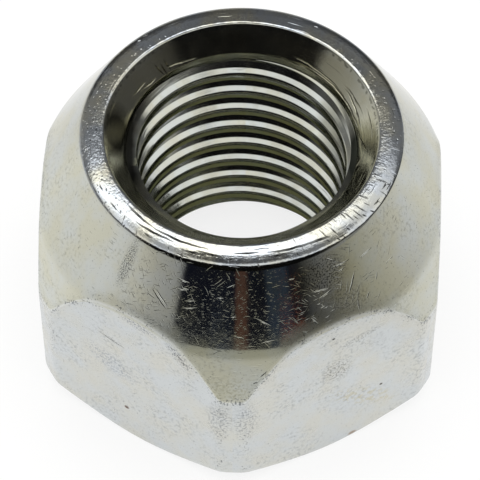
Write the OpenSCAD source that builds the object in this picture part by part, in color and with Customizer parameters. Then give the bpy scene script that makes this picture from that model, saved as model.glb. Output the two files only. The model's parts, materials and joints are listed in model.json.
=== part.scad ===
// Open-ended wheel lug nut with a conical seat
// A forged hexagon that narrows through a shoulder to a 60 degree seat,
// tapped through and countersunk at both ends. It stands on its hexagon end,
// with the rim of the seat on top and one corner of the hexagon towards -Y.
// All lengths are in millimetres and all angles in degrees.

/* [Hexagon] */
// Width across the flats
hex_af = 20.6; // [19:0.1:23]
// Diameter over the six turned corners
corner_d = 23.05; // [22:0.05:25]
// Height from the base to the top of the rim
height = 15.6; // [14:0.1:24]

/* [Seat] */
// Included angle of the conical seat
seat_angle = 60; // [50:1:75]
// Diameter of the seat where it meets the shoulder
seat_d = 21.3; // [20:0.1:22.5]
// Included angle of the shoulder that runs down the corners
shoulder_angle = 32; // [24:1:44]
// Radius of the blend between the seat and the shoulder
blend_r = 3; // [1:0.1:5]

/* [Rim] */
// Outer diameter of the rim at the small end of the seat
rim_d = 16.3; // [15.6:0.1:17.5]
// Height of the rim's rounded crown above its edges
rim_crown = 0.14; // [0.05:0.01:0.3]

/* [Tapped hole] */
// Diameter of the hole at the crests of an M12 x 1.5 thread
bore_d = 10.6; // [9:0.1:11.5]
// Diameter of the countersink at the rim
rim_sink_d = 14; // [12.5:0.1:15]
// Diameter of the countersink at the base
base_sink_d = 14.6; // [12.5:0.1:16]
// Included angle of both countersinks
sink_angle = 90; // [80:1:120]

/* [Base] */
// Diameter of the flat ring that the nut stands on
base_d = 20.3; // [18:0.1:21]
// Angle of the chamfer that rises from the base to the corners
chamfer_angle = 39; // [20:1:50]

/* [Hidden] */
$fn = 120;

// Hexagon, with its sharp corners on the circle that goes round them
SIDES = 6;
hex_corner_d = hex_af / cos(180 / SIDES);
first_corner = -90;

// Heights down the outside
rim_edge_z = height - rim_crown;
seat_end_z = rim_edge_z - (seat_d - rim_d) / 2 / tan(seat_angle / 2);
shoulder_end_z = seat_end_z - (corner_d - seat_d) / 2 / tan(shoulder_angle / 2);
chamfer_end_z = (corner_d - base_d) / 2 * tan(chamfer_angle);

// Heights down the hole
rim_sink_end_z = rim_edge_z - (rim_sink_d - bore_d) / 2 / tan(sink_angle / 2);
base_sink_end_z = (base_sink_d - bore_d) / 2 / tan(sink_angle / 2);

// Crown of the rim: one arc through both edges of the rim
rim_w = (rim_d - rim_sink_d) / 2;
crown_r = (rim_w * rim_w / 4 + rim_crown * rim_crown) / (2 * rim_crown);
crown_centre = [(rim_d + rim_sink_d) / 4, height - crown_r];

// Blend of the seat into the shoulder: one arc, tangent to both
seat_end = [seat_d / 2, seat_end_z];
seat_normal = seat_angle / 2;
shoulder_normal = shoulder_angle / 2;
blend_middle = (seat_normal + shoulder_normal) / 2;
blend_half = (seat_normal - shoulder_normal) / 2;
blend_centre = seat_end - polar(blend_r / cos(blend_half), blend_middle);
blend_low = blend_centre + polar(blend_r, shoulder_normal);
blend_high = blend_centre + polar(blend_r, seat_normal);

function polar(r, angle) = r * [cos(angle), sin(angle)];

// Round stretch where the seat turns into the shoulder
module blend_section() {
    intersection() {
        translate(blend_centre) circle(blend_r);
        polygon([blend_centre, blend_low, seat_end, blend_high]);
    }
}

// Rounded top of the rim
module crown_section() {
    intersection() {
        translate(crown_centre) circle(crown_r);
        translate([rim_sink_d / 2, rim_edge_z]) square([rim_w, rim_crown]);
    }
}

// Half section of all that is round the axis: corners, seat, rim and hole
module turned_section() {
    polygon([
        [bore_d / 2, base_sink_end_z],
        [base_sink_d / 2, 0],
        [base_d / 2, 0],
        [corner_d / 2, chamfer_end_z],
        [corner_d / 2, shoulder_end_z],
        blend_low,
        blend_high,
        [rim_d / 2, rim_edge_z],
        [rim_sink_d / 2, rim_edge_z],
        [bore_d / 2, rim_sink_end_z]
    ]);
    blend_section();
    crown_section();
}

// The whole nut, one forged and tapped piece
module lug_nut() {
    color("gainsboro")
        intersection() {
            rotate(first_corner) cylinder(h = height, d = hex_corner_d, $fn = SIDES);
            rotate_extrude() turned_section();
        }
}

lug_nut();
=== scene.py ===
"""A zinc-plated wheel lug nut on a white studio floor, laid out as a Blender add-on."""

import json
import math

import bmesh
import bpy
from bpy.props import FloatProperty, FloatVectorProperty, IntProperty, PointerProperty
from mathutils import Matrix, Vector


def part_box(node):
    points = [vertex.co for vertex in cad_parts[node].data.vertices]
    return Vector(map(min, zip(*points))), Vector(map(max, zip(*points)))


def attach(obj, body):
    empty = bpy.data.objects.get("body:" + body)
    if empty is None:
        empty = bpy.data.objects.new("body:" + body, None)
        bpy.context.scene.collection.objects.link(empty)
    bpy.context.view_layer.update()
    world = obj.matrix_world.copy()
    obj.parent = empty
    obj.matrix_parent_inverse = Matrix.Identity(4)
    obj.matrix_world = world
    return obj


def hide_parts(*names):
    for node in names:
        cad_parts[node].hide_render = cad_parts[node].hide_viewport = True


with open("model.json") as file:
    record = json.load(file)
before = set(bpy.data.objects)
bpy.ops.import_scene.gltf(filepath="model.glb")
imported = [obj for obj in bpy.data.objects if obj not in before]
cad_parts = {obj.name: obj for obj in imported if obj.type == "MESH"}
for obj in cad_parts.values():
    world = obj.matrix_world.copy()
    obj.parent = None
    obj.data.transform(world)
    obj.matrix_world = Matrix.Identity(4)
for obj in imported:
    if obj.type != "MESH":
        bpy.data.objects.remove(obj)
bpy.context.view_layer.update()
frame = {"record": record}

bl_info = {
    "name": "Lug nut",
    "version": (1, 0, 0),
    "blender": (4, 5, 0),
    "location": "View3D > Sidebar > Lug nut",
    "description": "Models a zinc-plated wheel lug nut and the small studio that it stands in",
    "category": "Object",
}

NODE = "lug_nut"
BODY = "root"
MM = 0.001
FULL_TURN = 2 * math.pi
SIDES = 6
ONE_SIDE = FULL_TURN / SIDES

NODE_LOW, NODE_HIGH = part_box(NODE)
STUD_THREAD = next(m for m in frame["record"]["mounts"] if m["name"] == "stud_thread")


def length(name, description, default):
    """A property that holds a length in metres."""
    return FloatProperty(name=name, description=description, default=default, unit="LENGTH", precision=5)


def angle(name, description, degrees):
    """A property that holds an angle, given here in degrees."""
    return FloatProperty(name=name, description=description, default=math.radians(degrees), subtype="ANGLE")


def linear(hex_colour):
    """Linear RGB of an sRGB colour written as six hex digits."""
    channels = [int(hex_colour[i : i + 2], 16) / 255 for i in (0, 2, 4)]
    return [c / 12.92 if c <= 0.04045 else ((c + 0.055) / 1.055) ** 2.4 for c in channels]


def paint(name, description, hex_colour):
    """A property that holds a colour."""
    return FloatVectorProperty(
        name=name, description=description, default=linear(hex_colour), subtype="COLOR", min=0, max=1
    )


class NutSizes(bpy.types.PropertyGroup):
    """Sizes of the nut; those that the frame holds are read from it."""

    across_flats: length("Across flats", "Width over two opposite flats", NODE_HIGH[0] - NODE_LOW[0])
    corner_d: length("Over corners", "Diameter over the turned corners", NODE_HIGH[1] - NODE_LOW[1])
    height: length("Height", "From the base to the top of the rim", NODE_HIGH[2] - NODE_LOW[2])
    seat_angle: angle("Seat angle", "Included angle of the conical seat", 60)
    seat_d: length("Seat diameter", "Where the seat meets the shoulder", 21.3 * MM)
    shoulder_angle: angle("Shoulder angle", "Included angle of the shoulder on the corners", 32)
    blend_r: length("Blend radius", "Between the seat and the shoulder", 3 * MM)
    rim_d: length("Rim diameter", "Outer diameter of the rim", 16.3 * MM)
    rim_crown: length("Rim crown", "Rise of the rim from its outer to its inner edge", 0.14 * MM)
    rim_tip: length("Rim tip", "Rise of the inner edge over the height, before it is rounded", 0.02 * MM)
    rim_bow: length("Rim bow", "Rise of the rim's middle over the line between its edges", 0.04 * MM)
    rim_edge: length("Rim edge", "Width of the rounding on the rim's outer edge", 0.46 * MM)
    rim_sink_d: length("Rim countersink", "Diameter of the countersink at the rim", 14 * MM)
    base_sink_d: length("Base countersink", "Diameter of the countersink at the base", 14.6 * MM)
    sink_angle: angle("Countersink angle", "Included angle of both countersinks", 90)
    sink_edge: length("Countersink edge", "Width of the rounding where a countersink begins", 0.12 * MM)
    base_d: length("Base ring", "Diameter of the flat ring that the nut stands on", 20.3 * MM)
    chamfer_angle: angle("Base chamfer", "Rise of the chamfer from the base to the corners", 39)
    crest_d: length("Thread crests", "Diameter at the crests", 2 * STUD_THREAD["dims"]["r_mm"] * MM)
    thread_d: length("Thread diameter", "Nominal diameter of the thread", 12 * MM)
    pitch: length("Thread pitch", "Rise of the thread in one turn", 1.5 * MM)
    thread_start: length("Thread start", "Height of a crest on the side of the hole at +X", 0.765 * MM)
    thread_depth: length("Thread depth", "From the crests to the roots", 0.62 * MM)
    tap_stock: length("Tap stock", "Metal inside the crests that the tap takes off", 0.3 * MM)
    crest_flat: length("Crest flat", "Width of the flat on each crest", 0.18 * MM)
    crest_ease: length("Crest ease", "Radius that turns a crest into its flanks", 0.24 * MM)
    lip_width: length("Lip width", "How far out from the crests the flatter part of a flank goes", 0.35 * MM)
    lip_angle: angle("Lip angle", "Turn of that part from the axis", 60)
    flank_angle: angle("Flank angle", "Turn of the rest of a flank from the axis", 50)
    relief_d: length("Relief", "Diameter of the short wall under the rim's countersink", 11.86 * MM)
    relief_depth: length("Relief depth", "Height of that wall", 0.4 * MM)
    relief_taper: length("Relief taper", "How much that wall narrows downwards", 0.04 * MM)
    worn_edge: length("Worn edge", "Width of the rounding on the hexagon's edges", 0.35 * MM)
    corner_ease: length("Corner ease", "How softly a flat turns into its corner", 0.12 * MM)
    corner_from: angle("Corner from", "Where the closer lines begin, from the middle of a flat", 24)
    rub_width: length("Rubbed width", "How far from the hexagon's edges the plate is rubbed", 0.5 * MM)
    haze_width: length("Haze width", "How far from the arcs the seat is dulled", 1.1 * MM)
    thread_steps: IntProperty(name="Thread steps", description="Faces in one turn", default=120, min=24)


class StageSizes(bpy.types.PropertyGroup):
    """The studio: camera, floor, lamp and sky."""

    camera_turn: angle("Camera turn", "How far the camera stands to the right of the front corner", 2.3)
    camera_rise: angle("Camera rise", "How far the camera looks down", 55.1)
    camera_distance: length("Camera distance", "From the lens to the point it looks at", 152.7 * MM)
    camera_aim: length("Camera aim", "Height of the point that the camera looks at", 5.9 * MM)
    shift: FloatVectorProperty(
        name="Shift", description="Of the frame, in image widths", default=(-0.0032, 0.0017), size=2
    )
    lens: FloatProperty(
        name="Lens", description="Focal length in millimetres", default=215.4, subtype="DISTANCE_CAMERA"
    )
    floor_size: length("Floor size", "Side of the square floor", 4.0)
    floor_colour: paint("Floor", "White studio floor", "F4F4F2")
    floor_glow: FloatProperty(
        name="Floor glow",
        description="Share of its white that is its own light",
        default=0.83,
        subtype="FACTOR",
    )
    veil_height: length("Veil height", "Of the film that fades the floor in reflections", 0.1 * MM)
    lamp_size: length("Lamp size", "Side of the square lamp overhead", 0.36)
    lamp_height: length("Lamp height", "Of the lamp over the floor", 0.30)
    lamp_power: FloatProperty(name="Lamp power", description="In watts", default=0.8, subtype="POWER")
    sky_strength: FloatProperty(name="Sky strength", description="Of the even white light", default=0.7)


def arc_points(centre, radius, start, end, steps):
    """Points along an arc, as radius and height."""
    angles = [start + (end - start) * i / steps for i in range(steps + 1)]
    return [centre + radius * Vector((math.cos(a), math.sin(a))) for a in angles]


def line_points(start, end, steps):
    """Points along a straight stretch, without its two ends."""
    return [start.lerp(end, i / steps) for i in range(1, steps)]


def bend(start, corner, end, steps):
    """Points on a curve that leaves the start and reaches the end in line with the corner between them."""
    shares = [i / steps for i in range(steps + 1)]
    return [start.lerp(corner, t).lerp(corner.lerp(end, t), t) for t in shares]


def rounded(before, corner, after, width, steps):
    """Points that round a corner off, over at most the given width or almost half of either side."""
    most = 0.45
    start = corner + (before - corner) * min(width / (before - corner).length, most)
    end = corner + (after - corner) * min(width / (after - corner).length, most)
    return bend(start, corner, end, steps)


def walk(points, distances):
    """Points at the given distances along a line of points."""
    found = []
    for distance in distances:
        left = distance
        for here, there in zip(points, points[1:]):
            step = (there - here).length
            if left <= step or there == points[-1]:
                found.append(here.lerp(there, left / step))
                break
            left -= step
    return found


def length_at(points, radius):
    """Distance along a line of points to where it reaches a radius."""
    gone = 0
    for here, there in zip(points, points[1:]):
        step = (there - here).length
        if here.x <= radius <= there.x:
            return gone + step * (radius - here.x) / (there.x - here.x)
        gone += step
    raise ValueError("the line does not reach the radius")


def seat_reach(sizes):
    """Length of the seat from the rim to where it meets the shoulder."""
    return (sizes.seat_d - sizes.rim_d) / 2 / math.sin(sizes.seat_angle / 2)


def seat_line(sizes):
    """The seat and the shoulder from the rim downwards, as radius and height, past the corners."""
    past = 8 * MM
    low, high = sizes.shoulder_angle / 2, sizes.seat_angle / 2
    rim = Vector((sizes.rim_d / 2, sizes.height - sizes.rim_crown))
    seat_end = Vector((sizes.seat_d / 2, rim.y - (sizes.seat_d - sizes.rim_d) / 2 / math.tan(high)))
    middle = (low + high) / 2
    reach = sizes.blend_r / math.cos((high - low) / 2)
    blend_centre = seat_end - reach * Vector((math.cos(middle), math.sin(middle)))
    beyond = seat_end + Vector((math.sin(low), -math.cos(low))) * past
    return [rim, *arc_points(blend_centre, sizes.blend_r, high, low, 12), beyond]


def outline_r(sizes, turn):
    """Radius of the hexagon at an angle from the middle of a flat, with its corner turned off and eased."""
    flat, corner = sizes.across_flats / 2 / math.cos(turn), sizes.corner_d / 2
    ease = max(sizes.corner_ease - abs(flat - corner), 0)
    return min(flat, corner) - ease**2 / sizes.corner_ease / 4


def seat_rings(sizes):
    """Distances from the rim to the rings of points on the seat and shoulder, closest at the blend."""
    rim_side, blend, shoulder = 0.3 * sizes.rim_edge, 0.5 * MM, 3.2 * MM
    reach = seat_reach(sizes)
    marks = [rim_side, reach - blend, reach + blend, reach + shoulder]
    counts = (22, 16, 12)
    stretches = zip(marks, marks[1:], counts)
    return [start + (end - start) * i / count for start, end, count in stretches for i in range(count)]


def section(sizes, turn, bore_r):
    """Closed half section at an angle from the middle of a flat, as radius and height."""
    outer = outline_r(sizes, turn)
    fade = sizes.worn_edge
    sink_slope = math.tan(sizes.sink_angle / 2)

    # Base with its countersink, its ring and the corners of the chamfer
    bore_low = Vector((bore_r, (sizes.base_sink_d / 2 - bore_r) / sink_slope))
    base_in, base_out = Vector((sizes.base_sink_d / 2, 0)), Vector((sizes.base_d / 2, 0))
    chamfer_end = Vector((outer, (outer - base_out.x) * math.tan(sizes.chamfer_angle)))

    # Seat, down to where it meets the flat or the corner
    seat = seat_line(sizes)
    reach = length_at(seat, outer)
    seat_foot = walk(seat, [reach])[0]
    end, least_gap = reach - fade, 0.03 * MM
    seat_points = walk(seat, [ring if ring < end - least_gap else end for ring in seat_rings(sizes)])
    seat_round = bend(seat_foot - Vector((0, fade)), seat_foot, walk(seat, [end])[0], 6)
    foot_round = rounded(base_out, chamfer_end, seat_foot, fade, 5)
    base_round = rounded(base_in, base_out, foot_round[0], fade, 3)

    # Countersink at the rim, the short relief wall under it and the hole
    rim_out, rim_in = seat[0], Vector((sizes.rim_sink_d / 2, sizes.height + sizes.rim_tip))
    sink_depth = (sizes.rim_sink_d - sizes.crest_d) / 2 / sink_slope
    sink_end = Vector((sizes.crest_d / 2, sizes.height - sizes.rim_crown - sink_depth))
    wall_high = rim_in + (sink_end - rim_in) * (rim_in.x - sizes.relief_d / 2) / (rim_in.x - sink_end.x)
    wall_low = wall_high - Vector((sizes.relief_taper, sizes.relief_depth))
    bore_high = wall_low + (sink_end - wall_low) * (wall_low.x - bore_r) / (wall_low.x - sink_end.x)

    # Rim with its crown and its worn edges
    crown = rim_in.lerp(rim_out, 0.5) + Vector((0, sizes.rim_bow))
    rim_start = rim_out.lerp(crown, sizes.rim_edge / (crown - rim_out).length)
    out_round = bend(seat_points[0], rim_out, rim_start, 8)
    in_round = rounded(crown, rim_in, wall_high, sizes.sink_edge, 6)
    top_edge, foot_edge = 0.04 * MM, 0.05 * MM
    wall_top = rounded(in_round[-1], wall_high, wall_low, top_edge, 3)
    wall_foot = rounded(wall_high, wall_low, bore_high, foot_edge, 3)
    return [
        bore_low,
        *line_points(bore_low, base_in, 4),
        *rounded(bore_low, base_in, base_out, sizes.sink_edge, 3),
        *line_points(base_in, base_out, 4),
        *base_round,
        *foot_round,
        *line_points(foot_round[-1], seat_round[0], 24),
        *seat_round,
        *reversed(seat_points[1:]),
        *out_round,
        *rounded(out_round[-1], crown, in_round[0], sizes.rim_d, 8),
        *in_round,
        *line_points(in_round[-1], wall_top[0], 6),
        *wall_top,
        *wall_foot,
        bore_high,
        bore_low,
    ]


def trace(name, points):
    """A new object whose mesh is a line of vertices through the points, left in edit mode."""
    bpy.ops.object.select_all(action="DESELECT")
    bpy.ops.mesh.primitive_plane_add(size=MM)
    piece = bpy.context.object
    piece.name = name
    bpy.ops.object.mode_set(mode="EDIT")
    bpy.ops.mesh.select_mode(type="VERT")
    bpy.ops.mesh.merge(type="CENTER")
    here = (0, 0)
    for i, point in enumerate(points):
        step = (point[0] - here[0], 0, point[1] - here[1])
        if i == 0:
            bpy.ops.transform.translate(value=step)
        else:
            bpy.ops.mesh.extrude_vertices_move(TRANSFORM_OT_translate={"value": step})
        here = point
    bpy.ops.mesh.select_all(action="SELECT")
    return piece


def close_up():
    """Merges vertices that lie on each other and turns all faces outwards."""
    bpy.ops.mesh.select_all(action="SELECT")
    bpy.ops.mesh.remove_doubles(threshold=0.001 * MM)
    bpy.ops.mesh.normals_make_consistent(inside=False)


def select_edges(piece, wanted):
    """Selects, in edit mode, the edges that pass the test."""
    bpy.ops.mesh.select_mode(type="EDGE")
    bpy.ops.mesh.select_all(action="DESELECT")
    mesh = bmesh.from_edit_mesh(piece.data)
    for edge in mesh.edges:
        edge.select_set(wanted(edge))
    bmesh.update_edit_mesh(piece.data)


def forge_blank(sizes):
    """The blank with its hexagon: half of one side is drawn out line by line, mirrored and spun round."""
    bore_r = sizes.crest_d / 2 - sizes.tap_stock
    ease, half_side = sizes.corner_from, ONE_SIDE / 2
    flat_lines, corner_lines = 12, 8
    turns = [ease * i / flat_lines for i in range(1, flat_lines + 1)]
    turns += [ease + (half_side - ease) * i / corner_lines for i in range(1, corner_lines + 1)]
    nut = trace("nut", section(sizes, 0, bore_r))
    mesh = bmesh.from_edit_mesh(nut.data)
    row = mesh.verts.layers.int.new("row")
    for i, vertex in enumerate(mesh.verts):
        vertex[row] = i
    bmesh.update_edit_mesh(nut.data)
    for turn in turns:
        bpy.ops.mesh.extrude_edges_move()
        line = section(sizes, turn, bore_r)
        mesh = bmesh.from_edit_mesh(nut.data)
        row = mesh.verts.layers.int["row"]
        for vertex in (v for v in mesh.verts if v.select):
            radius, z = line[vertex[row]]
            vertex.co = (radius * math.cos(turn), radius * math.sin(turn), z)
        bmesh.update_edit_mesh(nut.data)
    bpy.ops.mesh.select_all(action="SELECT")
    bpy.ops.mesh.duplicate()
    bpy.ops.transform.resize(value=(1, -1, 1), center_override=(0, 0, 0))
    bpy.ops.mesh.select_all(action="SELECT")
    bpy.ops.mesh.spin(
        steps=SIDES - 1, dupli=True, angle=FULL_TURN * (1 - 1 / SIDES), center=(0, 0, 0), axis=(0, 0, 1)
    )
    close_up()
    return nut


def half_thread(sizes):
    """Half of one turn's section, from mid-crest out to the root, as radius and height over the crest."""
    crest_r, ease = sizes.crest_d / 2, sizes.crest_ease
    turns = [sizes.lip_angle * i / 6 for i in range(7)]
    steps = [(crest_r, 0)]
    steps += [(crest_r + ease * (1 - math.cos(t)), sizes.crest_flat / 2 + ease * math.sin(t)) for t in turns]
    lip, root = (sizes.lip_width, sizes.lip_angle), (sizes.thread_depth, sizes.flank_angle)
    for out, slope in (lip, root):
        start_r, start = steps[-1]
        # Points lie closer together at both ends of each stretch
        for share in (0.06, 0.2, 0.5, 0.8, 0.94, 1):
            step = (crest_r + out - start_r) * share
            steps.append((start_r + step, start + step / math.tan(slope)))
    return steps


def make_tap(sizes):
    """A threaded rod with the form of the hole: right-hand turns that run past both ends of the nut."""
    turns_below, turns_more = 3, 5
    z = sizes.thread_start - turns_below * sizes.pitch
    steps = half_thread(sizes)
    lower = [(r, z + up) for r, up in steps]
    upper = [(r, z + sizes.pitch - up) for r, up in reversed(steps)]
    tap = trace("tap", lower + upper)
    bpy.ops.object.mode_set(mode="OBJECT")
    bpy.ops.object.modifier_add(type="SCREW")
    screw = tap.modifiers[-1]
    screw.angle = FULL_TURN
    screw.screw_offset = sizes.pitch
    screw.iterations = math.ceil(sizes.height / sizes.pitch) + turns_more
    screw.steps = screw.render_steps = sizes.thread_steps
    screw.use_merge_vertices = False
    bpy.ops.object.modifier_apply(modifier=screw.name)
    bpy.ops.object.mode_set(mode="EDIT")
    close_up()
    for is_end in (lambda z: z < 0, lambda z: z > sizes.height):
        select_edges(tap, lambda e: e.is_boundary and all(is_end(v.co.z) for v in e.verts))
        bpy.ops.mesh.extrude_edges_move()
        bpy.ops.mesh.merge(type="CENTER")
    close_up()
    bpy.ops.object.mode_set(mode="OBJECT")
    return tap


def cut_thread(nut, sizes):
    """Cuts the thread with the tap, which is then removed."""
    tap = make_tap(sizes)
    bpy.ops.object.select_all(action="DESELECT")
    bpy.context.view_layer.objects.active = nut
    nut.select_set(True)
    bpy.ops.object.modifier_add(type="BOOLEAN")
    cut = nut.modifiers[-1]
    cut.operation = "DIFFERENCE"
    cut.object = tap
    cut.solver = "MANIFOLD"
    bpy.ops.object.modifier_apply(modifier=cut.name)
    bpy.data.objects.remove(tap, do_unlink=True)


def smooth(nut):
    """Smooth shading, with large faces setting the normals and edges over 30 degrees kept sharp."""
    bpy.ops.object.shade_smooth_by_angle(angle=math.radians(30))
    bpy.ops.object.modifier_add(type="WEIGHTED_NORMAL")
    weigh = nut.modifiers[-1]
    weigh.keep_sharp = True
    bpy.ops.object.modifier_apply(modifier=weigh.name)


# Where one finish ends and the next begins: the hole's radius, how far inwards and how little upwards its
# faces point, and how far upwards those of the rim and of the seat do
HOLE_R, HOLE_INWARDS, HOLE_UPWARDS = 6.3 * MM, 0.05, 0.85
RIM_UPWARDS, SEAT_UPWARDS = 0.7, 0.12
# Radius outside which the edges are worn
WORN_R = 9.3 * MM
# On the UV map the six flats lie side by side, this far apart, counted from the one at +X
FLAT_STEP = 30 * MM


def look(face):
    """Which of the four finishes a face has: flats, seat, rim or hole."""
    centre, normal = face.center, face.normal
    out = Vector((centre.x, centre.y, 0)).normalized()
    faces_in = normal.dot(out) < -HOLE_INWARDS and normal.z < HOLE_UPWARDS
    if faces_in or centre.xy.length < HOLE_R:
        return "hole"
    if normal.z > RIM_UPWARDS:
        return "rim"
    return "seat" if normal.z > SEAT_UPWARDS else "flats"


def side_turn(place):
    """Angle of a place from the middle of the nearest flat."""
    return abs((math.atan2(place.y, place.x) + ONE_SIDE / 2) % ONE_SIDE - ONE_SIDE / 2)


def over_arc(sizes, place):
    """How far a place lies above the arc over its flat."""
    seat = seat_line(sizes)
    return place.z - walk(seat, [length_at(seat, outline_r(sizes, side_turn(place)))])[0].y


def rubbed(sizes, place):
    """How close a place is to the arc over its flat or, by half, to the line of a corner, from 0 to 1."""
    rise = over_arc(sizes, place)
    corner_share = 0.5
    arc = 1 - abs(rise) / sizes.rub_width
    corner_turn = math.acos(sizes.across_flats / sizes.corner_d)
    corner = 1 - abs(side_turn(place) - corner_turn) * sizes.corner_d / 2 / sizes.rub_width
    return max(arc, corner_share * corner if rise < 0 else 0, 0)


def hazed(sizes, place):
    """How dull the seat is at a place, from 0 to 1: fully at the arc over a flat and a little at its end."""
    end_share = 0.12
    seat_end = sizes.height - sizes.rim_crown - seat_reach(sizes) * math.cos(sizes.seat_angle / 2)
    arc = 1 - abs(over_arc(sizes, place)) / sizes.haze_width
    end = 1 - abs(place.z - seat_end) / sizes.haze_width
    return max(arc, end_share * end, 0)


def lay_out(nut, sizes, plates):
    """Gives each face its finish and its place on a UV map in metres, and marks the worn edges."""
    mesh = nut.data
    for wear in (rubbed, hazed):
        share = mesh.attributes.new(wear.__name__, "FLOAT", "POINT")
        for i, vertex in enumerate(mesh.vertices):
            share.data[i].value = wear(sizes, vertex.co) if vertex.co.xy.length > WORN_R else 0
    mesh.materials.clear()
    for plate in plates.values():
        mesh.materials.append(plate)
    order = list(plates)
    while mesh.uv_layers:
        mesh.uv_layers.remove(mesh.uv_layers[0])
    uv = mesh.uv_layers.new(name="surface")
    for face in mesh.polygons:
        kind = look(face)
        face.material_index = order.index(kind)
        middle = math.atan2(face.center.x, -face.center.y)
        side = round(math.atan2(face.center.y, face.center.x) / ONE_SIDE)
        along_flat = Vector((-math.sin(side * ONE_SIDE), math.cos(side * ONE_SIDE), 0))
        for i in face.loop_indices:
            place = mesh.vertices[mesh.loops[i].vertex_index].co
            off = math.atan2(place.x, -place.y) - middle
            turn = middle + (off + math.pi) % FULL_TURN - math.pi
            if kind == "flats":
                uv.data[i].uv = (place.dot(along_flat) + side * FLAT_STEP, place.z)
            elif kind == "seat":
                uv.data[i].uv = (turn * sizes.seat_d / 2, place.z / math.cos(sizes.seat_angle / 2))
            elif kind == "rim":
                uv.data[i].uv = (turn * sizes.rim_d / 2, place.xy.length)
            else:
                uv.data[i].uv = (turn * sizes.thread_d / 2, place.z)


def new_material(name):
    """A material with an empty node tree."""
    material = bpy.data.materials.new(name)
    material.use_nodes = True
    material.node_tree.nodes.clear()
    return material


def rgba(colour):
    """A colour, or a brightness as a grey, with full alpha."""
    red, green, blue = (colour,) * 3 if isinstance(colour, (int, float)) else colour[:3]
    return (red, green, blue, 1)


def add(tree, kind, sockets=(), stops=(), **settings):
    """Adds a node with its settings. Its sockets, by key or in order, take values, outputs or other nodes,
    whose first output is then linked. Stops are the places and colours of a colour ramp, in order."""
    node = tree.nodes.new("ShaderNode" + kind)
    for key, value in settings.items():
        setattr(node, key, value)
    for key, value in sockets.items() if isinstance(sockets, dict) else enumerate(sockets):
        source = value.outputs[0] if isinstance(value, bpy.types.Node) else value
        if isinstance(source, bpy.types.NodeSocket):
            tree.links.new(source, node.inputs[key])
        else:
            node.inputs[key].default_value = source
    if stops:
        points = node.color_ramp.elements
        while len(points) < len(stops):
            points.new(0.5)
        for point, (place, colour) in zip(points, stops):
            point.position = place
        for point, (place, colour) in zip(points, stops):
            point.color = rgba(colour)
    return node


def total(tree, weighted, start=0):
    """Sum of a start and of values that each have their weight."""
    for value, weight in weighted:
        start = add(tree, "Math", (value, weight, start), operation="MULTIPLY_ADD")
    return start


def along(tree, where, u, v, long, wide, turn):
    """Coordinates of a mark at a place on the surface, in millimetres: 0 in its middle and 1 at its edge."""
    place = {
        "Vector": where,
        "Location": (u, v, 0),
        "Rotation": (0, 0, math.radians(turn)),
        "Scale": (long / 2, wide / 2, 1),
    }
    return add(tree, "Mapping", place, vector_type="TEXTURE")


def spot(tree, where, u, v, long, wide, turn, shift=0.0):
    """One soft oval mark as a mask."""
    oval = along(tree, where, u + shift, v + shift, long, wide, turn)
    return add(tree, "TexGradient", {"Vector": oval}, gradient_type="SPHERICAL").outputs["Fac"]


def dashes(tree, where, turn, long, wide, share, seed):
    """Scattered fine scratches of about one length, width and direction, in millimetres, as a mask."""
    # How much of its cell a scratch reaches over, and how far each seed moves the cells
    reach, step_u, step_v = 0.14, 7.3, 3.1
    cell = along(tree, where, seed * step_u, seed * step_v, long / reach, wide / reach, turn)
    points = add(tree, "TexVoronoi", {"Vector": cell, "Scale": 1}, voronoi_dimensions="2D").outputs
    near = add(tree, "MapRange", (points["Distance"], 0, reach, 1, 0))
    pick = add(tree, "SeparateColor", (points["Color"],))
    kept = add(tree, "Math", (pick, share), operation="LESS_THAN")
    return add(tree, "Math", (near, kept), operation="MULTIPLY")


def grain(tree, where, size, detail=2.0, stretch=1.0):
    """Noise with features of about the given size in millimetres, drawn out along the first axis."""
    feature = {"Vector": where, "Scale": (size * stretch, size, 1)}
    scaled = add(tree, "Mapping", feature, vector_type="TEXTURE")
    noise = {"Vector": scaled, "Scale": 1, "Detail": detail, "Roughness": 0.55}
    return add(tree, "TexNoise", noise, noise_dimensions="2D").outputs["Fac"]


# How far marks sway from a straight line, in millimetres, and how often in one millimetre. Single marks,
# stains and painted shade are moved by half the sway, which is its mean, so that they stay in place
SWAY, SWAY_RATE = 0.1, 1.3
# Sizes of the plate's patterns in millimetres: drifts of its cast, patches of flecks, changes of gloss, and
# the patches and specks of wear along the arcs
CAST_SIZE, FLECK_PATCH, GLOSS_SIZE, WEAR_PATCH, WEAR_SPECK = 2.2, 2.6, 1.1, 1.5, 0.13
# Colours of scratches, of bare rubbed edges and of the dirt along them
SCORED, BARE, DIRT = "5A5A54", "E8EAE8", "5C6064"


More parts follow.
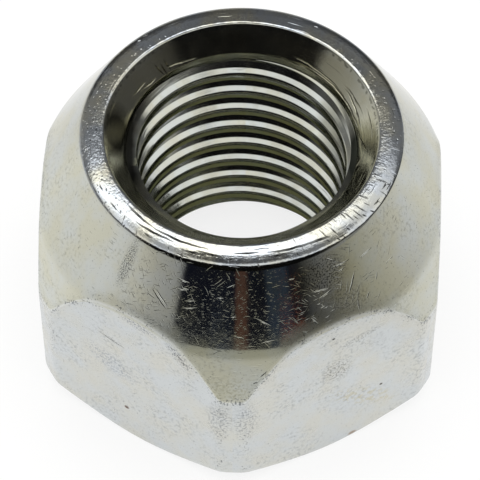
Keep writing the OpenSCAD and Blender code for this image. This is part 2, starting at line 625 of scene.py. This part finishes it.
def zinc(name, cool, warm, rough, scratches, fine, depth, mottle, marks=(), stains_and_shade=(), rub=0.0, haze=0.0):
    """Zinc plate: a metal with a faint blue or straw cast, fine grain and scratches that break its shine."""
    material = new_material(name)
    tree = material.node_tree
    uv = add(tree, "TexCoord").outputs["UV"]
    mm = add(tree, "Mapping", {"Vector": uv, "Scale": (1 / MM, 1 / MM, 1)})
    sway = add(tree, "TexNoise", {"Vector": mm, "Scale": SWAY_RATE, "Detail": 2}, noise_dimensions="2D")
    swayed = (sway.outputs["Color"], (SWAY, SWAY, 0), mm)
    drawn = add(tree, "VectorMath", swayed, operation="MULTIPLY_ADD")

    # Relief: scattered scratches, single marks and the grain of the surface
    worn = []
    for seed, (turn, long, wide, share, weight, *zone) in enumerate(scratches):
        mask = dashes(tree, drawn, turn, long, wide, share, seed)
        if zone:
            mask = add(tree, "Math", (mask, spot(tree, mm, *zone)), operation="MULTIPLY")
        worn.append((mask, weight))
    for *oval, weight in marks:
        worn.append((spot(tree, drawn, *oval, SWAY / 2), weight))
    scored = total(tree, worn)
    skin = [(grain(tree, mm, size, 2, stretch), weight) for size, stretch, weight in fine]
    bump = add(tree, "Bump", {"Height": total(tree, skin, scored), "Distance": depth})

    # Colour: the cast of the plate, and over it flecks, scratches, stains, painted shade and worn edges
    fleck_size, fleck_share, fleck = mottle
    flecks = add(tree, "MapRange", (grain(tree, mm, fleck_size, 5), 0.5, 0.72))
    patches = add(tree, "MapRange", (grain(tree, mm, FLECK_PATCH, 2), 0.42, 0.66))
    flecks = add(tree, "Math", (flecks, patches), operation="MULTIPLY")
    layers = [
        (add(tree, "MapRange", (flecks, 0, 1, 0, fleck_share)), fleck),
        (add(tree, "MapRange", (scored, -0.3, -1.6, 0, 0.5)), SCORED),
    ]
    for *oval, stain_and_shade, share, speckle in stains_and_shade:
        mask = add(tree, "MapRange", (spot(tree, drawn, *oval, SWAY / 2), 0, 0.5, 0, share))
        if speckle:
            specks = add(tree, "MapRange", (grain(tree, mm, speckle, 2), 0.5, 0.6))
            mask = add(tree, "Math", (mask, specks), operation="MULTIPLY")
        layers.append((mask, stain_and_shade))
    if rub:
        edge = add(tree, "Attribute", attribute_name=rubbed.__name__).outputs["Fac"]
        layers.append((add(tree, "MapRange", (edge, 0.72, 1, 0, 0.7)), BARE))
        patches = add(tree, "MapRange", (grain(tree, mm, WEAR_PATCH, 2), 0.42, 0.6))
        patches = add(tree, "Math", (edge, patches), operation="MULTIPLY")
        specks = total(tree, [(patches, 0.22)], grain(tree, mm, WEAR_SPECK, 3, 0.8))
        layers.append((add(tree, "MapRange", (specks, 0.68, 0.75, 0, rub)), DIRT))
    cast = [(0.35, linear(cool)), (0.65, linear(warm))]
    colour = add(tree, "ValToRGB", {"Fac": grain(tree, mm, CAST_SIZE, 3)}, cast)
    for mask, stain_and_shade in layers:
        colour = add(tree, "Mix", {0: mask, 6: colour, 7: rgba(linear(stain_and_shade))}, data_type="RGBA").outputs[2]

    # Gloss, duller along the arcs where there is haze
    gloss = add(tree, "MapRange", (grain(tree, mm, GLOSS_SIZE, 3), 0.3, 0.7, *rough))
    if haze:
        dull = add(tree, "Attribute", attribute_name=hazed.__name__).outputs["Fac"]
        gloss = total(tree, [(dull, haze)], gloss)
    metal = {"Base Color": colour, "Metallic": 1, "Roughness": gloss, "Normal": bump}
    add(tree, "OutputMaterial", {"Surface": add(tree, "BsdfPrincipled", metal)})
    return material


# Scattered scratches: turn in degrees, length and width in millimetres, share of the places that have one,
# weight, and for some the oval zone that holds them: across, up, length, width and turn. Across and up, here
# and below, are places on the UV map in millimetres
FRONT_ZONE, LEFT_ZONE, RIGHT_ZONE = (0.6, 15.2, 9, 6, 0), (-4.6, 15.0, 5, 6.5, 0), (4.9, 14.6, 5, 5.5, 0)
SEAT_SCRATCHES = [
    (4, 0.5, 0.05, 0.12, -0.7), (-10, 0.3, 0.045, 0.12, -0.7), (40, 0.7, 0.05, 0.06, -0.8),
    (-55, 0.6, 0.05, 0.06, -0.8), (8, 0.16, 0.03, 0.35, -0.45, *FRONT_ZONE),
    (-28, 0.13, 0.03, 0.35, -0.45, *FRONT_ZONE), (38, 0.13, 0.03, 0.35, -0.45, *FRONT_ZONE),
    (60, 0.9, 0.05, 0.4, -1.8, 6.6, 15.6, 6, 5, 0), (30, 0.35, 0.045, 0.6, -2.2, *LEFT_ZONE),
    (-48, 0.3, 0.045, 0.6, -2.2, *LEFT_ZONE), (10, 0.4, 0.045, 0.5, -2.0, *RIGHT_ZONE),
    (-50, 0.35, 0.045, 0.5, -2.0, *RIGHT_ZONE), (-25, 0.7, 0.05, 0.4, -1.8, 6.2, 15.8, 6, 5, 0),
]
FLAT_SCRATCHES = [
    (70, 0.5, 0.06, 0.1, -0.7), (-55, 0.5, 0.06, 0.1, -0.7), (100, 0.4, 0.06, 0.1, -0.7),
    (20, 0.5, 0.06, 0.06, -0.7),
]
RIM_SCRATCHES = [
    (0, 1.2, 0.06, 0.4, -1.2), (86, 0.8, 0.09, 0.9, -4.0, 8.0, 7.4, 12, 2.0, 0),
    (80, 0.4, 0.07, 0.8, -3.0, 9.0, 7.5, 10, 1.6, 0), (50, 0.12, 0.10, 0.9, -3.0, -8.6, 7.4, 6, 2.4, 0),
    (60, 0.3, 0.08, 0.8, -9.0, 0, 8.0, 30, 0.7, 0), (3, 0.7, 0.08, 0.8, -9.0, 0, 7.96, 30, 0.6, 0),
    (80, 0.14, 0.08, 0.7, -5.0, -15, 7.15, 16, 0.8, 0), (80, 0.14, 0.08, 0.7, -5.0, 14, 7.15, 14, 0.8, 0),
    (50, 0.10, 0.09, 0.8, -3.0, -13, 7.5, 12, 2.2, 0), (50, 0.10, 0.09, 0.6, -2.5, 14, 7.5, 10, 2.2, 0),
    (0, 0.2, 0.10, 0.3, -6.0, -13.5, 7.5, 14, 1.2, 0), (0, 0.2, 0.10, 0.4, -6.0, 13.5, 7.8, 12, 0.7, 0),
]
HOLE_SCRATCHES = [
    (0, 1.8, 0.07, 0.4, -0.8), (0, 2.2, 0.07, 0.8, -5.0, 13.0, 14.7, 13, 1.5, 0),
    (2, 1.4, 0.07, 0.8, -5.0, -14.5, 14.7, 8, 1.2, 0),
]
# Single marks: across, up, length, width, turn and weight. Widths, also of the scattered ones, are a little
# coarser than those of real scratches, so that they show
SEAT_MARKS = [
    (-4.3, 15.2, 1.40, 0.10, -37, -4), (-4.2, 15.3, 1.20, 0.09, -37, 3), (-3.1, 16.6, 0.80, 0.08, -6, -4),
    (-2.9, 16.2, 0.45, 0.07, 0, -4), (-3.1, 16.1, 0.60, 0.07, 3, -3), (-4.8, 15.2, 0.62, 0.07, -10, -2),
    (-2.5, 15.6, 0.66, 0.07, 13, -3), (-2.5, 15.2, 0.98, 0.06, 13, -3), (-0.2, 16.7, 0.52, 0.07, 22, -3),
    (-0.8, 16.0, 0.36, 0.07, 5, -3), (0.0, 15.0, 0.30, 0.07, 2, -3), (1.6, 14.7, 1.00, 0.08, -29, -4),
    (0.3, 13.9, 0.54, 0.08, -12, -3), (1.8, 13.6, 0.80, 0.07, 6, -3), (5.1, 15.7, 1.34, 0.08, -8, -4),
    (5.3, 15.4, 1.10, 0.08, 14, -4), (7.0, 15.3, 1.25, 0.10, 53, -5), (7.0, 14.0, 0.56, 0.09, 77, -4),
    (4.4, 14.2, 0.56, 0.08, -55, -4), (8.5, 16.3, 0.90, 0.08, 3, -4), (7.7, 14.2, 0.36, 0.08, 44, -3),
    (9.8, 15.0, 0.66, 0.07, 0, -3), (6.7, 16.6, 1.40, 0.07, -1, -3), (6.1, 17.1, 0.80, 0.08, -33, -4),
    (3.5, 16.8, 0.40, 0.07, -4, -4), (6.6, 16.3, 0.60, 0.07, 8, -3), (1.5, 11.5, 0.66, 0.09, 46, -5),
    (1.1, 10.9, 0.34, 0.09, 23, -4), (-5.9, 14.2, 0.50, 0.07, 20, -2), (8.6, 14.8, 0.45, 0.07, 60, -3),
]
FLAT_MARKS = [
    (-61.3, 8.6, 2.10, 0.08, -12, -4), (-61.2, 8.7, 1.60, 0.08, -12, 2), (-57.2, 10.4, 0.50, 0.10, -50, -4),
    (-56.9, 10.0, 0.40, 0.09, -40, -4), (-57.6, 10.8, 0.40, 0.09, -55, -4), (-30.2, 10.5, 0.20, 0.16, 0, -5),
    (-27.2, 4.1, 0.20, 0.16, 0, -5), (-60.6, 2.7, 0.30, 0.24, 0, -5),
]
RIM_MARKS = [
    (-3.2, 7.4, 3.60, 0.12, 1, -8), (-4.6, 7.6, 2.60, 0.12, -2, -8), (-5.9, 7.3, 2.20, 0.12, 3, -8),
    (3.0, 7.6, 2.80, 0.12, 2, -8), (2.2, 7.8, 2.00, 0.12, -3, -8), (-1.2, 7.7, 1.80, 0.12, 4, -8),
    (0.6, 7.5, 1.40, 0.10, -2, -6), (-2.2, 7.8, 1.60, 0.12, -2, -8), (4.6, 7.7, 1.40, 0.12, 4, -8),
    (-19.8, 8.0, 0.30, 0.10, 5, -4), (-19.3, 7.9, 0.26, 0.10, 5, -4), (21.7, 7.8, 0.40, 0.10, -4, -4),
]
HOLE_MARKS = [
    (-14.60, 14.75, 0.60, 0.10, 75, -9), (-14.35, 14.68, 0.60, 0.10, 80, -9),
    (-14.10, 14.78, 0.60, 0.10, 70, -9), (-15.40, 14.60, 1.80, 0.08, 4, -8),
    (14.60, 14.62, 4.00, 0.08, 2, -7), (13.20, 14.52, 5.00, 0.08, 1, -7),
    (15.60, 14.46, 5.00, 0.08, 0, -7), (11.80, 14.72, 2.60, 0.08, 4, -7),
    (9.60, 14.66, 1.20, 0.10, -20, -7), (8.40, 14.56, 0.90, 0.10, 30, -7),
]
# Stains, and in the hole also painted shade: across, up, length, width, turn, colour, share, and the size of
# its specks or 0 for an even one
SEAT_STAINS = [
    (-6.8, 16.2, 3.40, 0.90, 86, "34383E", 0.9, 0.07), (-0.2, 10.2, 2.60, 2.60, 0, "A8A690", 0.5, 0.16),
    (5.4, 16.5, 4.00, 2.40, 0, "3A3A34", 0.8, 0.10), (6.6, 14.6, 3.40, 2.00, -30, "6E6C60", 0.5, 0.10),
]
FLAT_STAINS = [
    (-60.6, 2.7, 0.36, 0.30, 0, "5A3A22", 0.9, 0), (-57.2, 10.3, 2.40, 0.90, -47, "5C6066", 0.8, 0.12),
    (-59.6, 11.2, 2.60, 0.70, -9, "747A86", 0.7, 0.11), (-29.9, 7.4, 2.60, 2.00, -60, "7A7A74", 0.7, 0.12),
    (-28.2, 3.7, 6.00, 1.60, -37, "C0B898", 0.5, 0.3), (-27.2, 4.1, 0.26, 0.20, 0, "4C4030", 0.9, 0),
    (-30.2, 10.5, 0.22, 0.18, 0, "3A3834", 0.9, 0), (-28.8, 0.4, 0.60, 0.40, 0, "8A6C48", 0.7, 0),
    (-61.5, 6.4, 4.00, 2.00, -25, "8E949C", 0.6, 0.13), (-28.6, 9.6, 3.20, 0.60, 12, "74746E", 0.6, 0.11),
    (-54.9, 6.2, 4.00, 1.60, 90, "70747A", 0.5, 0.13), (-35.1, 6.2, 4.00, 1.60, 90, "70747A", 0.5, 0.13),
]
# In the hole, the near-black marks at the left and the right, on the countersink and the short wall under it,
# are painted shade in that recess. The one over the upper turns of the thread at the right darkens them.
HOLE_STAINS_AND_SHADE = [
    (0, 14.80, 90, 2.20, 0, "BEB894", 0.5, 0), (0, 15.46, 70, 0.16, 0, "6A6A5C", 0.6, 0.2),
    (9.20, 14.10, 5.00, 0.90, 0, "14201A", 0.9, 0), (-9.50, 14.90, 3.60, 2.20, 0, "14140F", 0.9, 0),
    (-9.00, 14.12, 9.00, 0.90, 0, "14140F", 0.9, 0), (12.90, 11.80, 3.20, 6.00, 0, "6A6A58", 0.6, 0),
]


def finishes():
    """The finishes of the nut by the way each surface was made. Each has its cool and warm cast, its
    roughness from least to most, its grain as size, stretch and weight, and its flecks as size, share and
    colour."""
    # Forged flats: satin and cloudy, with short scuffs in every direction
    flats = zinc(
        "zinc_on_forged_flats", "CACECF", "CECEC7", rough=(0.18, 0.28), scratches=FLAT_SCRATCHES,
        fine=[(0.10, 0.7, 1.0), (0.35, 0.7, 1.2), (0.9, 0.7, 1.0)], depth=0.006 * MM,
        mottle=(0.22, 0.65, "989C9C"), marks=FLAT_MARKS, stains_and_shade=FLAT_STAINS, rub=0.75,
    )
    # Turned seat: bright, with fine marks that run round it, scratches from handling and a dull lower end
    seat = zinc(
        "zinc_on_turned_seat", "CDD0CB", "CDCCBB", rough=(0.04, 0.07), scratches=SEAT_SCRATCHES,
        fine=[(0.06, 1.5, 0.08), (0.22, 1.5, 0.08), (0.6, 1, 0.2)], depth=0.007 * MM,
        mottle=(0.22, 0.55, "98988C"), marks=SEAT_MARKS, stains_and_shade=SEAT_STAINS, rub=0.75, haze=0.32,
    )
    # Faced rim: bright, with rings left by the tool, and rough where it was scraped
    rim = zinc(
        "zinc_on_faced_rim", "C6CCD2", "CFCDBE", rough=(0.08, 0.16), scratches=RIM_SCRATCHES,
        fine=[(0.08, 4, 0.6), (0.14, 1, 0.5), (0.5, 1, 1.2)], depth=0.006 * MM,
        mottle=(0.2, 0.5, "8E9296"), marks=RIM_MARKS,
    )
    # Tapped hole: bright flanks with a straw cast
    hole = zinc(
        "zinc_in_tapped_hole", "C8CCC8", "C8C8BA", rough=(0.10, 0.18), scratches=HOLE_SCRATCHES,
        fine=[(0.07, 25, 0.5), (0.3, 1, 0.4)], depth=0.004 * MM,
        mottle=(0.6, 0.2, "9C9E8A"), marks=HOLE_MARKS, stains_and_shade=HOLE_STAINS_AND_SHADE,
    )
    return {"flats": flats, "seat": seat, "rim": rim, "hole": hole}


class LUGNUT_OT_nut(bpy.types.Operator):
    """Model the nut: forge the blank with its flats, tap the hole and plate it"""

    bl_idname = "lugnut.nut"
    bl_label = "Nut"

    def execute(self, context):
        sizes = context.scene.nut_sizes
        nut = forge_blank(sizes)
        bpy.ops.object.mode_set(mode="OBJECT")
        cut_thread(nut, sizes)
        smooth(nut)
        lay_out(nut, sizes, finishes())
        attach(nut, BODY)
        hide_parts(NODE)
        return {"FINISHED"}


# The room that the metal mirrors, from degrees to the right of the front and brightness or linear colour:
# dim in front, with a brown, a red and a blue-grey panel, and paler to the sides
INK, BROWN, RED = (0.007, 0.008, 0.014), (0.08, 0.042, 0.032), (0.3, 0.08, 0.032)
STEEL, SLATE = (0.026, 0.036, 0.054), (0.032, 0.044, 0.07)
ROOM_FOOT = [
    (-179, 0.4), (-130, 0.7), (-110, 0.92), (-90, 0.88), (-66, 0.82), (-50, 0.68), (-36, 0.44),
    (-28, (0.4, 0.4, 0.36)), (20, (0.4, 0.4, 0.36)), (33, (0.21, 0.2, 0.16)), (40, (0.04, 0.036, 0.026)),
    (50, (0.2, 0.19, 0.15)), (63, (0.38, 0.37, 0.31)), (90, 0.66), (110, 0.84), (130, 0.7), (179, 0.4),
]
LOW_LEFT = [
    (-179, 0.3), (-130, 0.7), (-110, 0.95), (-90, 0.86), (-66, 0.74), (-45, 0.5), (-31.5, 0.36), (-28, INK),
]
LOW_RIGHT = [(50, 0.2), (63, 0.3), (90, 0.12), (121, 0.1), (135, 0.3), (179, 0.3)]
ROOM_STRIP = [
    *LOW_LEFT, (-13, INK), (-12, SLATE), (-3, SLATE), (-1, INK), (0, BROWN), (4.7, BROWN), (5.7, INK),
    (13, INK), (15, STEEL), (20, STEEL), (21.5, RED), (31, RED), (33, 0.03), (37, 0.08), *LOW_RIGHT,
]
ROOM_LOW = [
    *LOW_LEFT, (-1, INK), (0, BROWN), (4.7, BROWN), (5.7, INK), (14, INK), (16, STEEL), (26, STEEL),
    (27.5, INK), (34, 0.02), (38, 0.075), *LOW_RIGHT,
]
ROOM_HIGH = [
    (-179, 0.12), (-165, 0.06), (-146, 0.05), (-136, 0.3), (-112, 0.65), (-88, 0.38), (-64, 0.28),
    (-58, 0.004), (45, 0.004), (62, 0.06), (80, 0.09), (112, 0.08), (132, 0.25), (146, 0.05),
    (165, 0.06), (179, 0.12),
]
ROOM_UPPER = [
    (-179, 0.13), (-166, 0.2), (-135, 0.24), (-112, 0.2), (-88, 0.12), (-64, 0.08), (-58, 0.004), (54, 0.004),
    (60, 0.05), (80, 0.08), (112, 0.1), (138, 0.2), (166, 0.2), (179, 0.13),
]
ROOM_TOP = [
    (-179, 2.4), (-130, 2.2), (-105, 1.1), (105, 1.1), (122, 0.9), (150, 1.0), (166, 1.6), (179, 2.4),
]
ROOM_CROWN = [
    (-179, 2.4), (-140, 2.4), (-128, 0.9), (-115, 0.5), (-70, 0.5), (-45, 1.1), (45, 1.1), (62, 0.25),
    (120, 0.22), (132, 0.9), (145, 1.3), (165, 1.6), (179, 2.4),
]
# Bands of the room from the foot up: between which two heights, as sines, one turns into the next, how much
# lower that is to both sides, and the direction in which the height is measured
UPRIGHT, LEANING = (0, 0, 1), (0.04, 0.06, 1)
ROOM = [
    (0.030, 0.037, 0.107, UPRIGHT, ROOM_STRIP),
    (0.045, 0.049, 0.107, UPRIGHT, ROOM_LOW),
    (0.080, 0.105, 0, UPRIGHT, ROOM_HIGH),
    (0.44, 0.50, 0, UPRIGHT, ROOM_UPPER),
    (0.845, 0.89, 0.4, LEANING, ROOM_TOP),
    (0.87, 0.90, 0, UPRIGHT, ROOM_CROWN),
]
# The even grey straight overhead, and the heights between which the room turns into it
ROOM_CAP, CAP_RISE = 0.1, (0.970, 0.983)
# The floor, by distance from the axis: where the nut shades it, how its reflection is darkened to olive under
# the hole as painted shade, and how it gives way to the room further out
SHADE_START, SHADE_END = 8 * MM, 11 * MM
FLOOR_REACH = 0.2
FLOOR_SHADE_UNDER_HOLE = [(7.2 * MM, (0.36, 0.37, 0.2)), (10 * MM, 1.0)]
FLOOR_FADE = [(15 * MM, 0.0), (33 * MM, 0.7), (47 * MM, 0.93), (60 * MM, 1.0)]


def side_of(tree, where):
    """Side that a direction points to, from 0 at the back through 0.5 at the front to 1 at the back."""
    ahead = add(tree, "Mapping", {"Vector": where, "Rotation": (0, 0, math.pi / 2)})
    return add(tree, "TexGradient", {"Vector": ahead}, gradient_type="RADIAL").outputs["Fac"]


def round_about(tree, side, stops):
    """Colour round the nut, over the side."""
    places = [(0.5 + degrees / 360, colour) for degrees, colour in stops]
    return add(tree, "ValToRGB", {"Fac": side}, places)


def make_plane(stage, name, height):
    """A square as large as the floor, at a height over it."""
    bpy.ops.object.select_all(action="DESELECT")
    bpy.ops.mesh.primitive_plane_add(size=stage.floor_size)
    plane = bpy.context.object
    plane.name = name
    bpy.ops.object.mode_set(mode="EDIT")
    bpy.ops.transform.translate(value=(0, 0, height))
    bpy.ops.object.mode_set(mode="OBJECT")
    return plane


def make_floor(stage):
    """The white floor: a light table that glows evenly and still takes the nut's shadow."""
    floor = make_plane(stage, "floor", 0)
    material = new_material("white_light_table")
    tree = material.node_tree
    path = add(tree, "LightPath").outputs
    where = add(tree, "TexCoord").outputs["Object"]
    away = add(tree, "VectorMath", (where,), operation="LENGTH").outputs["Value"]
    open_air = add(tree, "MapRange", (away, SHADE_START, SHADE_END))
    seen = add(tree, "Math", (path["Is Glossy Ray"], open_air), operation="MULTIPLY")
    for ray in ("Is Camera Ray", "Is Transmission Ray"):
        seen = add(tree, "Math", (seen, path[ray]), operation="MAXIMUM")
    share = add(tree, "Math", (seen, stage.floor_glow), operation="MULTIPLY")
    white = add(tree, "BsdfDiffuse", {"Color": rgba(stage.floor_colour)})
    glow = add(tree, "Emission", {"Color": rgba(1), "Strength": 1})
    mixed = add(tree, "MixShader", (share, white, glow))
    add(tree, "OutputMaterial", {"Surface": mixed})
    floor.data.materials.append(material)


def make_veil(stage):
    """A thin film over the floor that only reflections show, where the floor fades into the dim room; under
    the hole it is painted shade, a dark olive.
    """
    veil = make_plane(stage, "floor_veil", stage.veil_height)
    material = new_material("floor_fading_into_room_with_painted_shade")
    tree = material.node_tree
    where = add(tree, "TexCoord").outputs["Object"]
    room = round_about(tree, side_of(tree, where), ROOM_FOOT)
    away = add(tree, "VectorMath", (where,), operation="LENGTH").outputs["Value"]
    reach = add(tree, "MapRange", (away, 0, FLOOR_REACH))
    # Inside is painted shade: a dark olive over the floor under the hole, which only reflections see
    share, inside = (
        add(tree, "ValToRGB", {"Fac": reach}, [(place / FLOOR_REACH, colour) for place, colour in stops])
        for stops in (FLOOR_FADE, FLOOR_SHADE_UNDER_HOLE)
    )
    fade = add(tree, "Mix", {0: share, 6: inside, 7: room}, data_type="RGBA").outputs[2]
    add(tree, "OutputMaterial", {"Surface": add(tree, "BsdfTransparent", {"Color": fade})})
    veil.data.materials.append(material)
    veil.visible_camera = veil.visible_diffuse = veil.visible_shadow = veil.visible_transmission = False


def make_sky(scene, stage):
    """Even white light, and for the metal to reflect a room that is dim in front and grey at the back."""
    scene.world = bpy.data.worlds.new("studio")
    scene.world.use_nodes = True
    tree = scene.world.node_tree
    tree.nodes.clear()
    where = add(tree, "TexCoord").outputs["Generated"]
    side = side_of(tree, where)
    parts = add(tree, "SeparateXYZ", (where,)).outputs
    aside = add(tree, "Math", (parts["X"], parts["X"]), operation="MULTIPLY")
    bands = []
    for start, end, bow, up, stops in ROOM:
        rise = add(tree, "VectorMath", (where, up), operation="DOT_PRODUCT").outputs["Value"]
        bands.append((total(tree, [(aside, bow)], rise), start, end, round_about(tree, side, stops)))
    bands.append((parts["Z"], *CAP_RISE, rgba(ROOM_CAP)))
    room = round_about(tree, side, ROOM_FOOT)
    for height, start, end, band in bands:
        share = add(tree, "MapRange", (height, start, end))
        room = add(tree, "Mix", {0: share, 6: room, 7: band}, data_type="RGBA").outputs[2]
    glossy = add(tree, "LightPath").outputs["Is Glossy Ray"]
    mirrored = add(tree, "Background", {"Color": room})
    even = add(tree, "Background", {"Color": rgba(1), "Strength": stage.sky_strength})
    add(tree, "OutputWorld", {"Surface": add(tree, "MixShader", (glossy, even, mirrored))})


def make_lamp(stage):
    """One soft lamp overhead."""
    bpy.ops.object.light_add(type="AREA", location=(0, 0, stage.lamp_height))
    lamp = bpy.context.object
    lamp.name = "lamp"
    lamp.data.shape = "SQUARE"
    lamp.data.size = stage.lamp_size
    lamp.data.energy = stage.lamp_power
    lamp.visible_glossy = False


def make_camera(scene, stage):
    """The camera, at the photograph's angle."""
    aim = Vector((0, 0, stage.camera_aim))
    turn, rise = stage.camera_turn, stage.camera_rise
    back = Vector((math.sin(turn) * math.cos(rise), -math.cos(turn) * math.cos(rise), math.sin(rise)))
    bpy.ops.object.camera_add(location=aim + back * stage.camera_distance)
    camera = bpy.context.object
    camera.name = "camera"
    camera.rotation_euler = back.to_track_quat("Z", "Y").to_euler()
    camera.data.lens = stage.lens
    camera.data.shift_x, camera.data.shift_y = stage.shift
    camera.data.clip_start = 10 * MM
    scene.camera = camera
    scene.view_settings.view_transform = "Standard"


class LUGNUT_OT_stage(bpy.types.Operator):
    """Set up the floor, the light and the camera"""

    bl_idname = "lugnut.stage"
    bl_label = "Stage"

    def execute(self, context):
        stage = context.scene.stage_sizes
        make_floor(stage)
        make_veil(stage)
        make_sky(context.scene, stage)
        make_lamp(stage)
        make_camera(context.scene, stage)
        return {"FINISHED"}


class LUGNUT_PT_sidebar(bpy.types.Panel):
    """Sidebar panel with the steps in order"""

    bl_idname = "LUGNUT_PT_sidebar"
    bl_label = "Lug nut"
    bl_space_type = "VIEW_3D"
    bl_region_type = "UI"
    bl_category = "Lug nut"

    def draw(self, context):
        for step in STEPS:
            self.layout.operator(step.bl_idname)


STEPS = (LUGNUT_OT_nut, LUGNUT_OT_stage)
CLASSES = (NutSizes, StageSizes, *STEPS, LUGNUT_PT_sidebar)


def register():
    """Makes the classes and both groups of sizes known to Blender."""
    for item in CLASSES:
        bpy.utils.register_class(item)
    bpy.types.Scene.nut_sizes = PointerProperty(type=NutSizes)
    bpy.types.Scene.stage_sizes = PointerProperty(type=StageSizes)


def unregister():
    """Takes back what register does."""
    del bpy.types.Scene.stage_sizes
    del bpy.types.Scene.nut_sizes
    for item in reversed(CLASSES):
        bpy.utils.unregister_class(item)


def main():
    """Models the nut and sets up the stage."""
    register()
    bpy.ops.lugnut.nut()
    bpy.ops.lugnut.stage()


if __name__ == "__main__":
    main()
